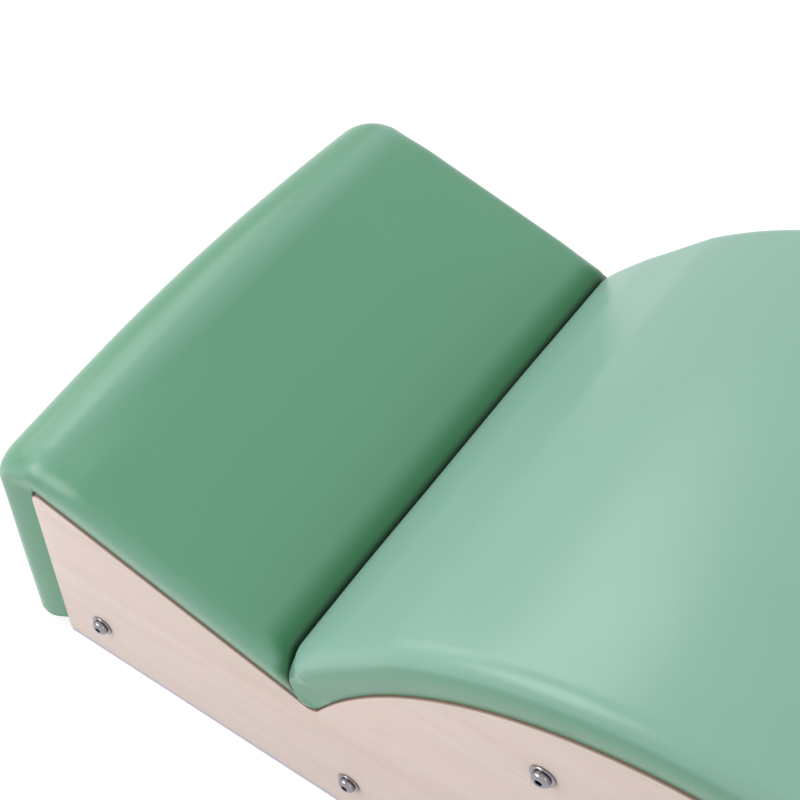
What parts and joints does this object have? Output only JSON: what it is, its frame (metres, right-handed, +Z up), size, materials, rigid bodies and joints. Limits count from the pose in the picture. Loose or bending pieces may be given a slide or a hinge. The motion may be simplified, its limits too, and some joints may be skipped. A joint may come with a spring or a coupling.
{
  "type": "spine corrector",
  "caption": "Free-standing spine corrector: a low padded step beside a padded half barrel, on plywood side panels bolted to rails, for lying and arching over.",
  "frame": {"origin": "centre of the object's box, on the surface that it stands on", "axes": "+X from the step's end towards the barrel, +Y to the left side panel, +Z up"},
  "size_m": [0.9946, 0.4934, 0.3556],
  "materials": {
    "plywood": "clear satin lacquer on birch plywood",
    "timber": "planed beech",
    "green_leather": "soft sheen on coated upholstery leather",
    "foam": "open cut foam",
    "stainless": "polished stainless steel",
    "insert_brass": "turned",
    "screw_steel": "zinc plated",
    "grip_strip": "matt ribbed strip"
  },
  "bodies": {
    "root": {"barrel_board": "plywood", "barrel_cover": "green_leather", "barrel_foam": "foam", "barrel_rib_left": "plywood", "barrel_rib_right": "plywood", "barrel_rib_screw_1_left": "screw_steel", "barrel_rib_screw_1_right": "screw_steel", "barrel_rib_screw_2_left": "screw_steel", "barrel_rib_screw_2_right": "screw_steel", "end_cleat_left": "plywood", "end_cleat_right": "plywood", "end_cleat_screw_left": "screw_steel", "end_cleat_screw_right": "screw_steel", "far_bolt_left": "stainless", "far_bolt_right": "stainless", "far_insert_left": "insert_brass", "far_insert_right": "insert_brass", "far_rail": "timber", "far_washer_left": "stainless", "far_washer_right": "stainless", "front_bolt_left": "stainless", "front_bolt_right": "stainless", "front_insert_left": "insert_brass", "front_insert_right": "insert_brass", "front_rail": "timber", "front_washer_left": "stainless", "front_washer_right": "stainless", "grip_strip_left": "grip_strip", "grip_strip_right": "grip_strip", "rear_bolt_left": "stainless", "rear_bolt_right": "stainless", "rear_insert_left": "insert_brass", "rear_insert_right": "insert_brass", "rear_rail": "timber", "rear_washer_left": "stainless", "rear_washer_right": "stainless", "side_panel_left": "plywood", "side_panel_right": "plywood", "step_bolt_left": "stainless", "step_bolt_right": "stainless", "step_cleat_left": "plywood", "step_cleat_right": "plywood", "step_cleat_screw_left": "screw_steel", "step_cleat_screw_right": "screw_steel", "step_cover": "green_leather", "step_end_board": "plywood", "step_foam": "foam", "step_insert_left": "insert_brass", "step_insert_right": "insert_brass", "step_rail": "timber", "step_top_board": "plywood", "step_washer_left": "stainless", "step_washer_right": "stainless", "valley_bolt_left": "stainless", "valley_bolt_right": "stainless", "valley_insert_left": "insert_brass", "valley_insert_right": "insert_brass", "valley_rail": "timber", "valley_washer_left": "stainless", "valley_washer_right": "stainless"}
  },
  "joints": []
}
